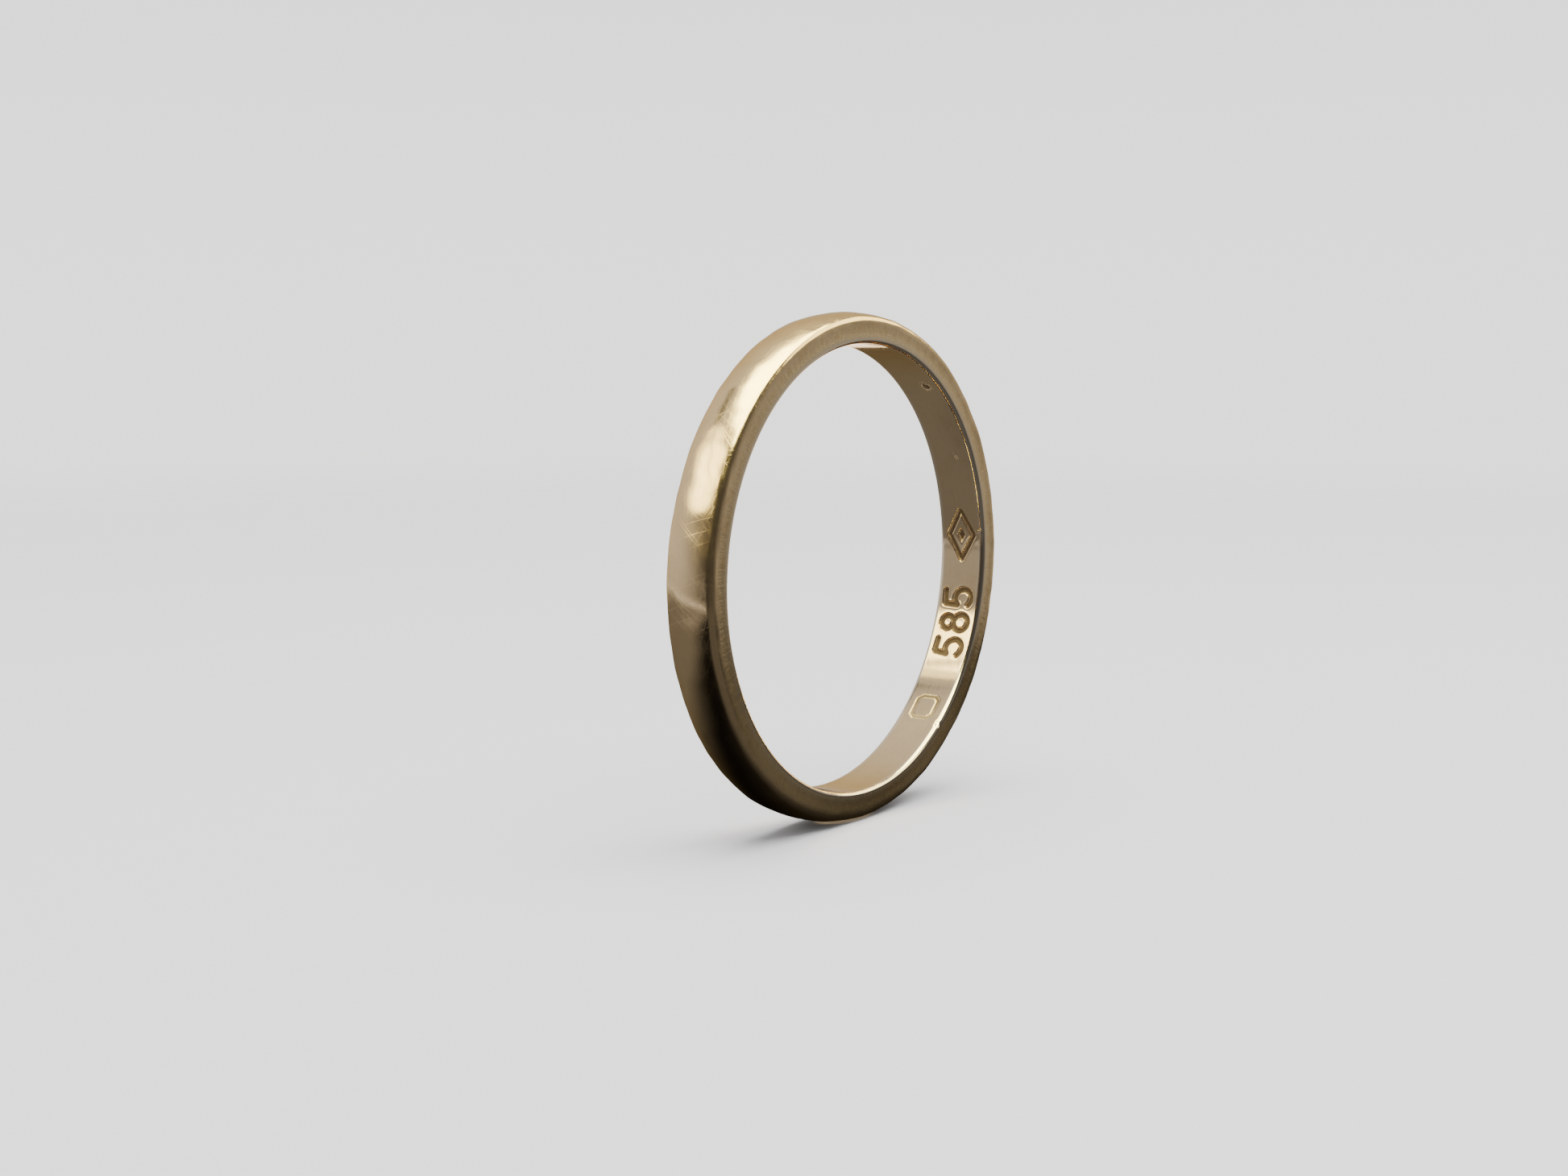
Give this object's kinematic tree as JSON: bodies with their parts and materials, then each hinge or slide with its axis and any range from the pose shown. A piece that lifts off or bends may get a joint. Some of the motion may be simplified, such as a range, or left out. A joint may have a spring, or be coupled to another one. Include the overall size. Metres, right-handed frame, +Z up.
{
  "type": "wedding band",
  "caption": "Plain wedding band: a narrow solid gold ring with a low domed outside, flat satin sides, a polished bore and small stamped marks inside.",
  "frame": {"origin": "centre of the finger hole, halfway across the band's width", "axes": "+Y along the ring's axis towards the back side face, +Z up with the ring standing on its rim, +X towards the stretch of bore that holds the marks"},
  "size_m": [0.0188, 0.002, 0.0188],
  "materials": {
    "gold": "worn polish on the dome and bore, satin side faces"
  },
  "bodies": {
    "root": {"band": "gold"}
  },
  "joints": []
}
